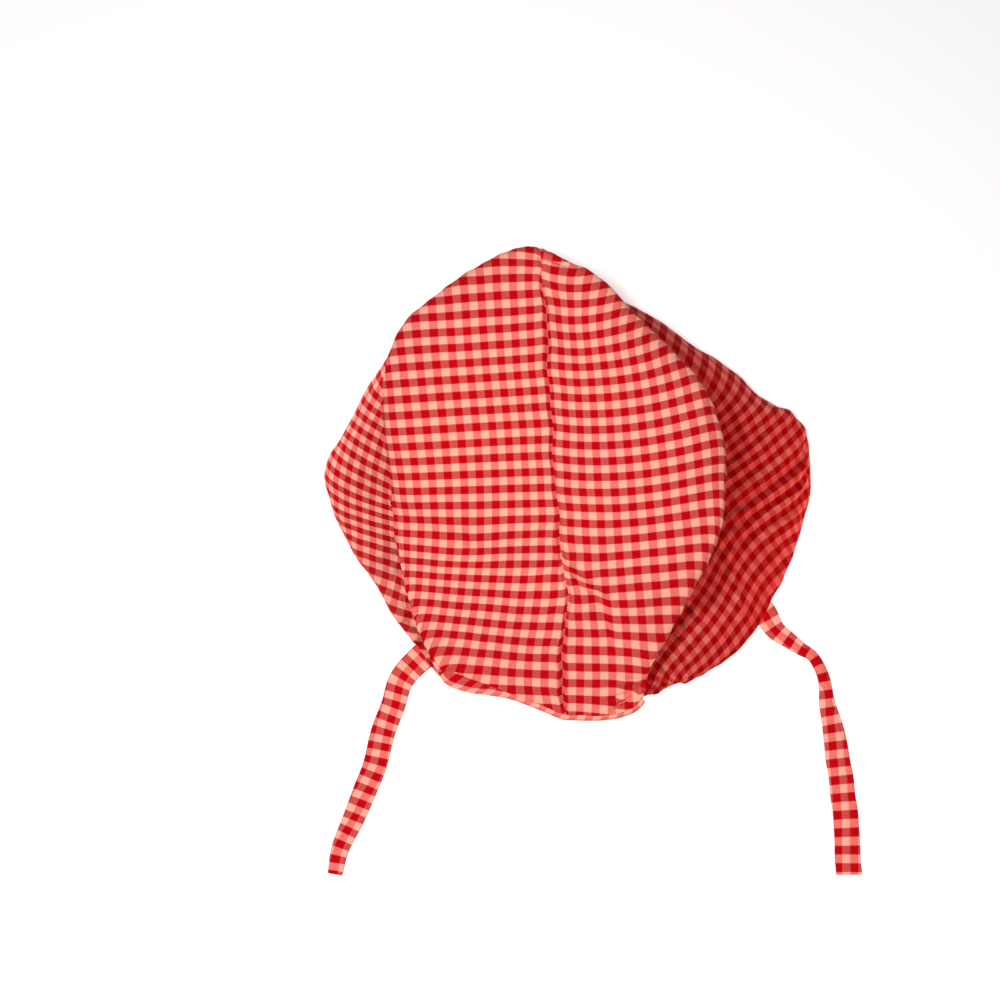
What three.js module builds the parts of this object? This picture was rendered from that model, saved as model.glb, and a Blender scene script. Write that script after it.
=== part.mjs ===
// A child's gingham sunbonnet, lying crown up on a table with its face opening down.
// Millimetres, +Z up. The neck edge faces -Y, the forehead +Y.
import * as THREE from "three";

// Driving dimensions
const crownLength = 278;
const crownWidth = 211;
const crownHeight = 88;
const crownWall = 1.6;
const brimWidth = 76;
const brimWall = 1.8;
const neckHemTuck = 8;
const neckHemShow = 7;
const neckHemWall = 1.5;
const neckHemLipShare = 0.55;
const tieWidth = 15.5;
const tieWall = 1.3;
const leftTieReach = 135;
const rightTieReach = 164;
const tieRootDepth = 14;
const seamGap = 0.3;

// How finely the cloth is cut into faces
const sectionsPerRow = 2;
const facesAcrossPanel = 12;
const facesAcrossBrim = 9;
const facesAcrossTie = 4;
const stepsAlongNeck = 24;
const neckHemStart = 3;
const stepsPerTieRow = 3;

// The centre seam, from the top of the forehead to the neck edge.
// along and side are shares of the crown's length and width, rise of its height.
const seamRows = [
  { along: -0.506, side: 0.036, rise: 0.07 },
  { along: -0.442, side: 0.031, rise: 0.18 },
  { along: -0.349, side: 0.036, rise: 0.365 },
  { along: -0.252, side: 0.043, rise: 0.535 },
  { along: -0.155, side: 0.024, rise: 0.68 },
  { along: -0.04, side: 0.01, rise: 0.81 },
  { along: 0.086, side: -0.002, rise: 0.91 },
  { along: 0.205, side: -0.011, rise: 0.98 },
  { along: 0.306, side: -0.016, rise: 1.0 },
  { along: 0.417, side: -0.026, rise: 0.99 },
];

// The crown's outline, from the left neck corner over the forehead to the right one.
// from: where on the centre seam the section starts. roll: how far the cloth turns under
// to its seam with the brim, as a share of the height. bow: how far the section's middle
// bends to the neck, as a share of the length.
const outlineRows = [
  { from: -0.506, side: -0.33, along: -0.414, rise: 0.075, roll: 0.02, bow: -0.012 },
  { from: -0.453, side: -0.36, along: -0.374, rise: 0.125, roll: 0.03, bow: -0.008 },
  { from: -0.385, side: -0.39, along: -0.32, rise: 0.23, roll: 0.045, bow: -0.003 },
  { from: -0.288, side: -0.427, along: -0.237, rise: 0.365, roll: 0.06, bow: 0 },
  { from: -0.169, side: -0.455, along: -0.133, rise: 0.5, roll: 0.07, bow: 0 },
  { from: -0.043, side: -0.469, along: -0.018, rise: 0.6, roll: 0.075, bow: 0 },
  { from: 0.079, side: -0.488, along: 0.108, rise: 0.68, roll: 0.08, bow: 0 },
  { from: 0.19, side: -0.493, along: 0.222, rise: 0.74, roll: 0.085, bow: 0 },
  { from: 0.29, side: -0.439, along: 0.333, rise: 0.79, roll: 0.1, bow: 0 },
  { from: 0.363, side: -0.337, along: 0.408, rise: 0.83, roll: 0.115, bow: 0 },
  { from: 0.403, side: -0.214, along: 0.467, rise: 0.87, roll: 0.13, bow: 0 },
  { from: 0.415, side: -0.114, along: 0.499, rise: 0.9, roll: 0.14, bow: 0 },
  { from: 0.417, side: -0.035, along: 0.505, rise: 0.91, roll: 0.14, bow: 0 },
  { from: 0.415, side: 0.034, along: 0.487, rise: 0.9, roll: 0.14, bow: 0 },
  { from: 0.403, side: 0.132, along: 0.444, rise: 0.87, roll: 0.13, bow: 0 },
  { from: 0.356, side: 0.244, along: 0.36, rise: 0.82, roll: 0.115, bow: 0 },
  { from: 0.29, side: 0.365, along: 0.273, rise: 0.74, roll: 0.09, bow: 0 },
  { from: 0.208, side: 0.455, along: 0.198, rise: 0.67, roll: 0.075, bow: 0 },
  { from: 0.086, side: 0.502, along: 0.094, rise: 0.6, roll: 0.07, bow: 0 },
  { from: -0.04, side: 0.514, along: -0.007, rise: 0.545, roll: 0.07, bow: 0 },
  { from: -0.151, side: 0.486, along: -0.122, rise: 0.48, roll: 0.065, bow: 0 },
  { from: -0.252, side: 0.422, along: -0.23, rise: 0.375, roll: 0.06, bow: 0 },
  { from: -0.349, side: 0.351, along: -0.327, rise: 0.25, roll: 0.045, bow: 0.004 },
  { from: -0.439, side: 0.294, along: -0.403, rise: 0.14, roll: 0.03, bow: 0.014 },
  { from: -0.506, side: 0.27, along: -0.464, rise: 0.075, roll: 0.02, bow: 0.026 },
];

// The brim, around the same way. place: share of the way around. lean: degrees that its
// flare turns to the forehead from straight out. reach: the hem, belly: how far the cloth
// swells beyond the hem, shoulder: how far it runs out before it falls, all as shares of
// the brim's width. lift: the hem's height over the table, as a share of what it needs to
// pass over a tie.
const brimRows = [
  { place: 0, lean: 0, reach: 0.06, belly: 0.0, shoulder: 0.03, lift: 1 },
  { place: 0.08, lean: 0, reach: 0.11, belly: 0.0, shoulder: 0.05, lift: 1 },
  { place: 0.13, lean: 0, reach: 0.25, belly: 0.02, shoulder: 0.1, lift: 0.3 },
  { place: 0.17, lean: 0, reach: 0.43, belly: 0.03, shoulder: 0.18, lift: 0 },
  { place: 0.21, lean: 0, reach: 0.6, belly: 0.06, shoulder: 0.28, lift: 0 },
  { place: 0.25, lean: -4, reach: 0.58, belly: 0.14, shoulder: 0.32, lift: 0 },
  { place: 0.29, lean: -14, reach: 0.22, belly: 0.17, shoulder: 0.24, lift: 0 },
  { place: 0.34, lean: -6, reach: 0.1, belly: 0.1, shoulder: 0.13, lift: 0 },
  { place: 0.42, lean: 0, reach: 0.23, belly: 0.05, shoulder: 0.13, lift: 0 },
  { place: 0.5, lean: 0, reach: 0.27, belly: 0.03, shoulder: 0.12, lift: 0 },
  { place: 0.58, lean: 0, reach: 0.22, belly: 0.08, shoulder: 0.16, lift: 0 },
  { place: 0.63, lean: 0, reach: 0.2, belly: 0.2, shoulder: 0.3, lift: 0 },
  { place: 0.67, lean: -3, reach: 0.28, belly: 0.19, shoulder: 0.34, lift: 0 },
  { place: 0.705, lean: -16, reach: 0.5, belly: 0.16, shoulder: 0.38, lift: 0 },
  { place: 0.73, lean: -6, reach: 0.79, belly: 0.13, shoulder: 0.42, lift: 0 },
  { place: 0.75, lean: 0, reach: 0.87, belly: 0.08, shoulder: 0.42, lift: 0 },
  { place: 0.79, lean: 0, reach: 0.82, belly: 0.03, shoulder: 0.36, lift: 0.1 },
  { place: 0.83, lean: 0, reach: 0.72, belly: 0.02, shoulder: 0.32, lift: 0.9 },
  { place: 0.875, lean: 0, reach: 0.66, belly: 0.02, shoulder: 0.28, lift: 1 },
  { place: 0.92, lean: 0, reach: 0.54, belly: 0.02, shoulder: 0.22, lift: 0.3 },
  { place: 0.96, lean: 2, reach: 0.38, belly: 0.01, shoulder: 0.14, lift: 0 },
  { place: 1, lean: 26, reach: 0.08, belly: 0.0, shoulder: 0.03, lift: 0 },
];

// The place of the outline where the centre seam meets the brim
const forehead = 0.5;

// The rolled edge: how far in its seam lies, as a share of how far down it lies, and
// where on a crown section the edge itself is.
const rollInset = 0.75;
const edgeShare = 0.86;

// How far the brim has fallen at its shoulder and stands over its hem at its belly, as
// shares of its height, and how much of a fold there is already at its seam.
const brimFallAtShoulder = 0.12;
const brimRiseOverHem = 0.42;
const foldAtSeam = 0.3;

// Creases of the crown, each a soft valley between two places, lengths as above.
// depth is a share of the crown's height and width a share of its width.
const creaseRows = [
  { side: -0.47, along: -0.075, toSide: -0.26, toAlong: -0.16, depth: 0.035, width: 0.05 },
  { side: -0.26, along: -0.16, toSide: 0.03, toAlong: -0.225, depth: 0.03, width: 0.045 },
  { side: 0.03, along: -0.19, toSide: 0.13, toAlong: -0.27, depth: 0.04, width: 0.04 },
  { side: 0.13, along: -0.27, toSide: 0.19, toAlong: -0.34, depth: 0.03, width: 0.04 },
  { side: 0.05, along: 0.28, toSide: 0.1, toAlong: 0.02, depth: 0.02, width: 0.04 },
  { side: 0.19, along: -0.48, toSide: 0.21, toAlong: -0.4, depth: 0.02, width: 0.02 },
  { side: 0.24, along: -0.46, toSide: 0.25, toAlong: -0.4, depth: 0.02, width: 0.02 },
];

// Soft folds that run down the brim from its seam to its hem.
// depth is a share of the brim's width, width a share of the way around.
const brimFoldRows = [
  { place: 0.155, depth: 0.03, width: 0.012 },
  { place: 0.235, depth: -0.03, width: 0.014 },
  { place: 0.335, depth: 0.05, width: 0.018 },
  { place: 0.395, depth: -0.035, width: 0.02 },
  { place: 0.45, depth: 0.055, width: 0.018 },
  { place: 0.53, depth: -0.04, width: 0.02 },
  { place: 0.585, depth: 0.05, width: 0.016 },
  { place: 0.69, depth: 0.035, width: 0.012 },
  { place: 0.735, depth: -0.04, width: 0.012 },
  { place: 0.79, depth: 0.04, width: 0.012 },
  { place: 0.85, depth: 0.03, width: 0.01 },
  { place: 0.9, depth: -0.025, width: 0.01 },
  { place: 0.945, depth: 0.025, width: 0.009 },
];

// How far the neck facing shows beyond the crown's edge, as a share of its greatest show.
const neckHemRows = [
  { place: 0, show: 0 },
  { place: 0.1, show: 0.7 },
  { place: 0.2, show: 1 },
  { place: 0.32, show: 0.8 },
  { place: 0.45, show: 0.3 },
  { place: 0.6, show: 0.2 },
  { place: 1, show: 0.2 },
];

// The ties on the table, from the hem that they come out of. down and side are shares of
// the tie's reach, width of its width, wall of its thickness.
const leftTieRows = [
  { down: 0, side: 0, width: 1.16, wall: 1 },
  { down: 0.115, side: -0.101, width: 1, wall: 1 },
  { down: 0.23, side: -0.142, width: 0.97, wall: 1 },
  { down: 0.35, side: -0.187, width: 0.98, wall: 1 },
  { down: 0.51, side: -0.222, width: 0.95, wall: 1 },
  { down: 0.62, side: -0.264, width: 0.94, wall: 1 },
  { down: 0.76, side: -0.318, width: 0.86, wall: 1.1 },
  { down: 0.9, side: -0.377, width: 0.66, wall: 1.4 },
  { down: 1, side: -0.396, width: 0.55, wall: 1.5 },
];
const rightTieRows = [
  { down: 0, side: 0, width: 0.98, wall: 1 },
  { down: 0.07, side: 0.045, width: 0.88, wall: 1 },
  { down: 0.132, side: 0.128, width: 0.64, wall: 1.3 },
  { down: 0.163, side: 0.175, width: 0.46, wall: 1.7 },
  { down: 0.214, side: 0.203, width: 0.34, wall: 2.1 },
  { down: 0.3, side: 0.222, width: 0.52, wall: 1.6 },
  { down: 0.385, side: 0.235, width: 0.74, wall: 1.2 },
  { down: 0.465, side: 0.25, width: 0.9, wall: 1 },
  { down: 0.55, side: 0.26, width: 0.97, wall: 1 },
  { down: 0.71, side: 0.276, width: 1, wall: 1 },
  { down: 0.875, side: 0.285, width: 1.02, wall: 1 },
  { down: 0.99, side: 0.285, width: 1.04, wall: 1 },
];
const leftTiePlace = 0.05;
const rightTiePlace = 0.862;
const leftTieRootTurn = -0.16;
const rightTieRootTurn = 0.1;

// Colours of the red and cream check
const clothRed = 0xdc0a1e;
const clothCream = 0xffb99b;
const creamShare = 0.5;
const clothRoughness = 0.85;

const up = new THREE.Vector3(0, 0, 1);
const acrossAxis = new THREE.Vector3(1, 0, 0);

// A smooth value between the rows of a table, which rise in the column named key.
function between(rows, key, at, column) {
  const last = rows.length - 1;
  let k = 0;
  while (k < last - 1 && at > rows[k + 1][key]) k++;
  const slope = (i) => {
    const a = Math.max(i - 1, 0);
    const b = Math.min(i + 1, last);
    return (rows[b][column] - rows[a][column]) / (rows[b][key] - rows[a][key]);
  };
  const span = rows[k + 1][key] - rows[k][key];
  const t = THREE.MathUtils.clamp((at - rows[k][key]) / span, 0, 1);
  const rise = t * t * (3 - 2 * t);
  return (
    rows[k][column] * (1 - rise) +
    rows[k + 1][column] * rise +
    span * (slope(k) * t * (1 - t) ** 2 - slope(k + 1) * t * t * (1 - t))
  );
}

const outlineSteps = outlineRows.length - 1;
const placedOutline = outlineRows.map((row, i) => ({ ...row, place: i / outlineSteps }));
const outlineAt = (place, column) => between(placedOutline, "place", place, column);
const brimAt = (place, column) => between(brimRows, "place", place, column);

// A point of the centre seam at a share of the crown's length.
function seamPoint(along) {
  return new THREE.Vector3(
    between(seamRows, "along", along, "side") * crownWidth,
    along * crownLength,
    between(seamRows, "along", along, "rise") * crownHeight,
  );
}

// The crown's outermost point at a place of its outline.
function outlinePoint(place) {
  return new THREE.Vector3(
    outlineAt(place, "side") * crownWidth,
    outlineAt(place, "along") * crownLength,
    outlineAt(place, "rise") * crownHeight,
  );
}

// The level direction that points straight out of the outline at a place.
function outward(place) {
  const step = 0.01;
  const before = outlinePoint(Math.max(place - step, 0));
  const after = outlinePoint(Math.min(place + step, 1));
  const along = after.sub(before);
  return new THREE.Vector3(-along.y, along.x, 0).normalize();
}

// The seam of crown and brim, under the crown's rolled edge.
function brimSeamPoint(place) {
  const roll = outlineAt(place, "roll") * crownHeight;
  return outlinePoint(place)
    .addScaledVector(outward(place), -rollInset * roll)
    .addScaledVector(up, -roll);
}

// How deep the creases are at a place of the crown.
function creaseDepth(side, along) {
  let depth = 0;
  for (const row of creaseRows) {
    const x = (row.toSide - row.side) * crownWidth;
    const y = (row.toAlong - row.along) * crownLength;
    const px = (side - row.side) * crownWidth;
    const py = (along - row.along) * crownLength;
    const t = THREE.MathUtils.clamp((px * x + py * y) / (x * x + y * y), 0, 1);
    const distance = Math.hypot(px - t * x, py - t * y) / (row.width * crownWidth);
    depth += row.depth * crownHeight * Math.exp(-distance * distance);
  }
  return depth;
}

// A point of the crown on the section of a place: across is 0 at the centre seam, 1 at
// the rolled edge's seam with the brim.
function crownPoint(place, across) {
  const start = seamPoint(outlineAt(place, "from"));
  const edge = outlinePoint(place);
  if (across > edgeShare) {
    const turn = ((across - edgeShare) / (1 - edgeShare)) * (Math.PI / 2);
    const end = brimSeamPoint(place);
    const under = end.clone().sub(edge);
    const inset = new THREE.Vector3(under.x, under.y, 0);
    return edge
      .clone()
      .addScaledVector(inset, 1 - Math.cos(turn))
      .addScaledVector(up, under.z * Math.sin(turn));
  }
  const turn = (across / edgeShare) * (Math.PI / 2);
  const point = start.clone();
  point.x += (edge.x - start.x) * Math.sin(turn);
  point.y += (edge.y - start.y) * Math.sin(turn);
  point.z = edge.z + (start.z - edge.z) * Math.cos(turn);
  point.y -= outlineAt(place, "bow") * crownLength * Math.sin(2 * turn);
  const fade = Math.sqrt(Math.max(Math.sin(2 * turn), 0));
  point.z -= creaseDepth(point.x / crownWidth, point.y / crownLength) * fade;
  return point;
}

// A point of the brim on the section of a place: down is 0 at its seam, 1 at its hem.
function brimPoint(place, down) {
  const seam = brimSeamPoint(place);
  const lean = THREE.MathUtils.degToRad(brimAt(place, "lean"));
  const turned = outward(place).applyAxisAngle(up, place < forehead ? -lean : lean);
  const reach = brimAt(place, "reach") * brimWidth;
  const belly = brimAt(place, "belly") * brimWidth;
  const shoulder = brimAt(place, "shoulder") * brimWidth;
  const hemHeight = Math.max(brimAt(place, "lift"), 0) * (tieWall + seamGap);
  const fall = seam.z - hemHeight;
  const hem = seam.clone().addScaledVector(turned, reach).setZ(hemHeight);
  const shoulderPoint = seam.clone().addScaledVector(turned, shoulder);
  shoulderPoint.z -= brimFallAtShoulder * fall;
  const bellyPoint = hem.clone().addScaledVector(turned, belly);
  bellyPoint.z += brimRiseOverHem * fall;
  const point = new THREE.CubicBezierCurve3(seam, shoulderPoint, bellyPoint, hem).getPoint(down);
  let fold = 0;
  for (const row of brimFoldRows) {
    const distance = (place - row.place) / row.width;
    fold += row.depth * brimWidth * Math.exp(-distance * distance);
  }
  const swell = Math.sin(Math.PI * (foldAtSeam + (1 - foldAtSeam) * down));
  return point.addScaledVector(turned, -fold * down * swell);
}

// The second face of a sheet: each point of the first, moved in by the wall. inwardAt can
// give the direction of a border point, where the sheet meets its neighbour.
function innerFace(face, wall, inwardAt) {
  const rows = face.length;
  const columns = face[0].length;
  return face.map((row, i) =>
    row.map((point, j) => {
      const given = inwardAt(i, j);
      if (given) return point.clone().addScaledVector(given, wall);
      const along = face[Math.min(i + 1, rows - 1)][j].clone().sub(face[Math.max(i - 1, 0)][j]);
      const across = row[Math.min(j + 1, columns - 1)].clone().sub(row[Math.max(j - 1, 0)]);
      const inward = across.cross(along).normalize();
      const moved = point.clone().addScaledVector(inward, wall);
      moved.z = Math.max(moved.z, 0);
      return moved;
    }),
  );
}

// One closed solid from the two faces of a sheet. Each quad is cut from its first corner
// to its third, or between the other two where turned is true.
function sheetGeometry(outer, inner, turned = false) {
  const rows = outer.length;
  const columns = outer[0].length;
  const positions = [];
  for (const face of [outer, inner]) {
    for (const row of face) {
      for (const point of row) positions.push(point.x, point.y, point.z);
    }
  }
  const index = (face, i, j) => face * rows * columns + i * columns + j;
  const triangles = [];
  const quad = (a, b, c, d) => {
    if (turned) triangles.push(b, c, d, b, d, a);
    else triangles.push(a, b, c, a, c, d);
  };
  const lastRow = rows - 1;
  const lastColumn = columns - 1;
  for (let i = 0; i < lastRow; i++) {
    for (let j = 0; j < lastColumn; j++) {
      quad(index(0, i, j), index(0, i + 1, j), index(0, i + 1, j + 1), index(0, i, j + 1));
      quad(index(1, i + 1, j), index(1, i, j), index(1, i, j + 1), index(1, i + 1, j + 1));
    }
  }
  for (let j = 0; j < lastColumn; j++) {
    quad(index(0, 0, j), index(0, 0, j + 1), index(1, 0, j + 1), index(1, 0, j));
    quad(
      index(0, lastRow, j + 1),
      index(0, lastRow, j),
      index(1, lastRow, j),
      index(1, lastRow, j + 1),
    );
  }
  for (let i = 0; i < lastRow; i++) {
    quad(index(0, i + 1, 0), index(0, i, 0), index(1, i, 0), index(1, i + 1, 0));
    quad(
      index(0, i, lastColumn),
      index(0, i + 1, lastColumn),
      index(1, i + 1, lastColumn),
      index(1, i, lastColumn),
    );
  }
  const geometry = new THREE.BufferGeometry();
  geometry.setAttribute("position", new THREE.Float32BufferAttribute(positions, 3));
  geometry.setIndex(triangles);
  geometry.computeVertexNormals();
  return geometry;
}

const cloth = new THREE.MeshStandardMaterial({
  color: new THREE.Color(clothRed).lerp(new THREE.Color(clothCream), creamShare),
  roughness: clothRoughness,
  metalness: 0,
});

function piece(name, geometry) {
  const mesh = new THREE.Mesh(geometry, cloth);
  mesh.name = name;
  return mesh;
}

// The places of a run of sections, from one share of the way around to another.
function placesFrom(first, last) {
  const steps = Math.round((last - first) * outlineSteps) * sectionsPerRow;
  return Array.from({ length: steps + 1 }, (_, i) => first + ((last - first) * i) / steps);
}

// The inward direction of the cloth at the centre seam, level with both panels.
function seamInward(row, j) {
  const before = row[Math.max(j - 1, 0)];
  const after = row[Math.min(j + 1, row.length - 1)];
  return after.clone().sub(before).cross(acrossAxis).setX(0).normalize();
}

// One half of the crown. sideways is -1 for the left and 1 for the right.
function crownPanel(sideways) {
  const places = sideways < 0 ? placesFrom(0, forehead) : placesFrom(forehead, 1);
  const outer = places.map((place) =>
    Array.from({ length: facesAcrossPanel + 1 }, (_, j) => crownPoint(place, j / facesAcrossPanel)),
  );
  const front = sideways < 0 ? places.length - 1 : 0;
  const seamEdge = outer.map((row) => row[0]);
  if (sideways > 0) seamEdge.reverse();
  for (const point of seamEdge) point.x += (sideways * seamGap) / 2;
  for (const point of outer[front].slice(1)) point.x += (sideways * seamGap) / 2;
  for (const row of outer) row[facesAcrossPanel].z += seamGap / 2;
  const inward = (i, j) => {
    if (j === facesAcrossPanel) return outward(places[i]).negate();
    if (j === 0) return seamInward(seamEdge, sideways < 0 ? i : places.length - 1 - i);
    if (i === front) return seamInward(outer[front], j);
    return null;
  };
  return sheetGeometry(outer, innerFace(outer, crownWall, inward), sideways > 0);
}

// The brim, one strip from the left neck corner around the forehead to the right one.
function brim() {
  const places = placesFrom(0, 1);
  const outer = places.map((place) =>
    Array.from({ length: facesAcrossBrim + 1 }, (_, j) => brimPoint(place, j / facesAcrossBrim)),
  );
  for (const row of outer) row[0].z -= seamGap / 2;
  const inward = (i, j) => (j === 0 || j === facesAcrossBrim ? outward(places[i]).negate() : null);
  return sheetGeometry(outer, innerFace(outer, brimWall, inward));
}

// The crown's neck edge at a share of its way from the left corner to the right one.
function neckEdge(share) {
  const onLeft = share < 0.5;
  const across = edgeShare * (onLeft ? 1 - 2 * share : 2 * share - 1);
  return crownPoint(onLeft ? 0 : 1, across);
}

// The bias facing of the neck edge: it lies under the crown and shows beyond its edge.
function neckHem() {
  const edges = Array.from({ length: stepsAlongNeck + 1 }, (_, i) => neckEdge(i / stepsAlongNeck));
  const top = edges.slice(neckHemStart, -neckHemStart).map((edge, k) => {
    const i = k + neckHemStart;
    const along = edges[i + 1].clone().sub(edges[i - 1]).setZ(0).normalize();
    const out = along.clone().cross(up);
    const show = neckHemShow * between(neckHemRows, "place", i / stepsAlongNeck, "show");
    const height = edge.z - crownWall - seamGap;
    const inside = edge.clone().addScaledVector(out, -neckHemTuck).setZ(height);
    const under = edge.clone().setZ(height);
    const lip = edge.clone().addScaledVector(out, show * neckHemLipShare).setZ(height);
    const rim = edge.clone().addScaledVector(out, show).setZ(neckHemWall);
    return [rim, lip, under, inside];
  });
  const bottom = top.map((row) =>
    row.map((point) => point.clone().setZ(Math.max(point.z - neckHemWall, 0))),
  );
  return sheetGeometry(top, bottom);
}

// A flat tie that lies on the table, from under the brim's hem to its free end.
function tie(rows, place, rootTurn, reach) {
  const hem = brimPoint(place, 1);
  const points = rows.map(
    (row) => new THREE.Vector3(hem.x + row.side * reach, hem.y - row.down * reach, 0),
  );
  const inward = points[0].clone().sub(points[1]).normalize().applyAxisAngle(up, rootTurn);
  points.unshift(points[0].clone().addScaledVector(inward, tieRootDepth));
  const widths = [rows[0].width, ...rows.map((row) => row.width)];
  const walls = [rows[0].wall, ...rows.map((row) => row.wall)];
  const path = new THREE.CatmullRomCurve3(points, false, "centripetal");
  const steps = (points.length - 1) * stepsPerTieRow;
  const valueAt = (list, t) => {
    const k = Math.min(Math.floor(t * (list.length - 1)), list.length - 2);
    return THREE.MathUtils.lerp(list[k], list[k + 1], t * (list.length - 1) - k);
  };
  const top = [];
  for (let i = 0; i <= steps; i++) {
    const t = i / steps;
    const middle = path.getPoint(t);
    const across = path.getTangent(t).cross(up).normalize();
    const width = valueAt(widths, t) * tieWidth;
    const wall = valueAt(walls, t) * tieWall;
    const row = [];
    for (let j = 0; j <= facesAcrossTie; j++) {
      const share = j / facesAcrossTie - 0.5;
      row.push(middle.clone().addScaledVector(across, -share * width).setZ(wall));
    }
    top.push(row);
  }
  const bottom = top.map((row) => row.map((point) => point.clone().setZ(0)));
  return sheetGeometry(top, bottom);
}

const bonnet = new THREE.Group();
bonnet.add(piece("crown_left", crownPanel(-1)));
bonnet.add(piece("crown_right", crownPanel(1)));
bonnet.add(piece("brim", brim()));
bonnet.add(piece("neck_hem", neckHem()));
bonnet.add(piece("tie_left", tie(leftTieRows, leftTiePlace, leftTieRootTurn, leftTieReach)));
bonnet.add(piece("tie_right", tie(rightTieRows, rightTiePlace, rightTieRootTurn, rightTieReach)));

// The origin is the middle of the bonnet's footprint on the table.
const bounds = new THREE.Box3().setFromObject(bonnet);
const middle = bounds.getCenter(new THREE.Vector3());
bonnet.position.set(-middle.x, -middle.y, -bounds.min.z);
bonnet.updateMatrixWorld(true);

export default bonnet;
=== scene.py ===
# A child's gingham sunbonnet of soft cotton, lying crown up with its face opening down.
# Metres, +Z up. The neck edge faces -Y, the forehead +Y.
import math

import bpy
import numpy as np
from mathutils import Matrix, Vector


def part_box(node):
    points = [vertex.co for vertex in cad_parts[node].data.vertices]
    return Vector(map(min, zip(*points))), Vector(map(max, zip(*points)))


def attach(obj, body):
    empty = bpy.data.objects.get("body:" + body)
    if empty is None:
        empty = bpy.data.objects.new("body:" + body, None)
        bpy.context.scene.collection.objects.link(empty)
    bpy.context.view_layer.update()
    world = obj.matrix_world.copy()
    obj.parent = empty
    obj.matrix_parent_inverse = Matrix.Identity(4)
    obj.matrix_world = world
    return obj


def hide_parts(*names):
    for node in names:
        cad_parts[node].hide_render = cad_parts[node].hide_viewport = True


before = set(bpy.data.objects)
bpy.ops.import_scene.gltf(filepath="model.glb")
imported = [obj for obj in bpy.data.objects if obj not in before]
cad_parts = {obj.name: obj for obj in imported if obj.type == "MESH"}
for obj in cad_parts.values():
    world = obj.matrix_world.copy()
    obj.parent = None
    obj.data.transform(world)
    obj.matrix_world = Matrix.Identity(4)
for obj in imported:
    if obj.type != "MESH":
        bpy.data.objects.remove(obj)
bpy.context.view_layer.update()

chance = np.random.default_rng(23)

# Sizes of the frame's pieces
crown_length = 0.278
crown_width = 0.211
crown_height = 0.088
brim_width = 0.076
neck_hem_tuck = 0.008
neck_hem_show = 0.007
neck_hem_wall = 0.0015
neck_hem_lip_share = 0.55
crown_wall = 0.0016
tie_width = 0.0155
tie_wall = 0.0013
left_tie_reach = 0.135
right_tie_reach = 0.164
tie_root_depth = 0.014
seam_gap = 0.0003
left_tie_place = 0.05
right_tie_place = 0.862
left_tie_root_turn = -0.16
right_tie_root_turn = 0.1
forehead = 0.5
roll_inset = 0.75
edge_share = 0.86
brim_fall_at_shoulder = 0.12
brim_rise_over_hem = 0.42
fold_at_seam = 0.3

# Sizes of the cloth
mm = 0.001
check = 0.01
yarn = 0.00042
crown_cloth_wall = 0.7 * crown_wall
brim_cloth_wall = 0.0011
hem_wall = 0.0019
hem_depth = 0.0052
above_floor = 0.00005
crown_edge_length = 0.62
seam_start, seam_end = -0.506, 0.417

# Uneven waves along a seam, and how high they stand: puckers beside the centre seam and
# along the crown's edge, the brim's gathers, and its bunches, by shares of the way around
puckers = {"pitch": 0.0087, "drift": 1.6, "over": 0.021}
pucker_height = 0.00032
edge_puckers = {"pitch": 0.013, "drift": 2, "over": 0.04}
edge_pucker_height = 0.0003
gathers = {"pitch": 0.0092, "drift": 1.9, "over": 0.027}
gather_height = 0.0005
more_gather_height = 0.0009
bunches = {"pitch": 0.019, "drift": 1.5, "over": 0.011}
bunch_height = 0.0011
bunch_slant = 0.075


def table(columns, *rows):
    """A short table, as an array for each named column."""
    return dict(zip(columns.split(), np.array(rows, float).T))


# Uneven swells of the cloth, in metres
crown_ripples = table("height size", (0.0005, 0.045), (0.00022, 0.018))
brim_ripples = table("height size", (0.0008, 0.05), (0.0003, 0.02))

# Lines that run along a seam or an edge, in metres: the groove of the centre seam with a lip
# beside it, the piping of the crown's edge, and the brim's stitch lines
line_columns = "height middle width"
left_seam_lines = table(line_columns, (-0.003, 0, 0.0014), (0.0011, 0.003, 0.0017))
right_seam_lines = table(line_columns, (-0.003, 0, 0.0014), (0.0003, 0.003, 0.0017))
crown_edge_lines = table(line_columns, (0.0005, -0.0002, 0.0012), (-0.0006, 0.0026, 0.0007))
brim_seam_lines = table(line_columns, (-0.0005, 0.006, 0.0006), (-0.0005, 0.0088, 0.0006))
hem_lines = table(line_columns, (-0.0004, hem_depth, 0.0005))
right_hem_lines = table(line_columns, (-0.0012, 0.012, 0.006))

# The centre seam, from the neck edge to the forehead, as shares of the crown's sizes
seam_rows = table(
    "along side rise",
    (-0.506, 0.036, 0.07),
    (-0.442, 0.031, 0.18),
    (-0.349, 0.036, 0.365),
    (-0.252, 0.043, 0.535),
    (-0.155, 0.024, 0.68),
    (-0.04, 0.01, 0.81),
    (0.086, -0.002, 0.91),
    (0.205, -0.011, 0.98),
    (0.306, -0.016, 1.0),
    (0.417, -0.026, 0.99),
)

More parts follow.
